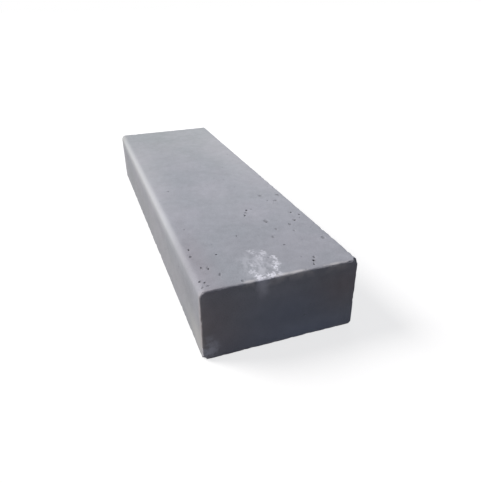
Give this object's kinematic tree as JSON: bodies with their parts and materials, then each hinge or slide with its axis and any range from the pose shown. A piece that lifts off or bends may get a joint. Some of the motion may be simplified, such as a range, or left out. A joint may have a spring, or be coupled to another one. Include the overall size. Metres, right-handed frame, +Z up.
{
  "type": "concrete step block",
  "caption": "Solid rectangular concrete step block with a rounded front nosing and small arrises, laid on a bed as one step of an outdoor stair.",
  "frame": {"origin": "middle of the underside, on the surface that the block lies on", "axes": "+X along the length of the step, -Y out of the front riser with the rounded nosing, +Z up out of the tread"},
  "size_m": [1.2, 0.35, 0.17],
  "materials": {
    "concrete": "matte"
  },
  "bodies": {
    "root": {"step_block": "concrete"}
  },
  "joints": []
}
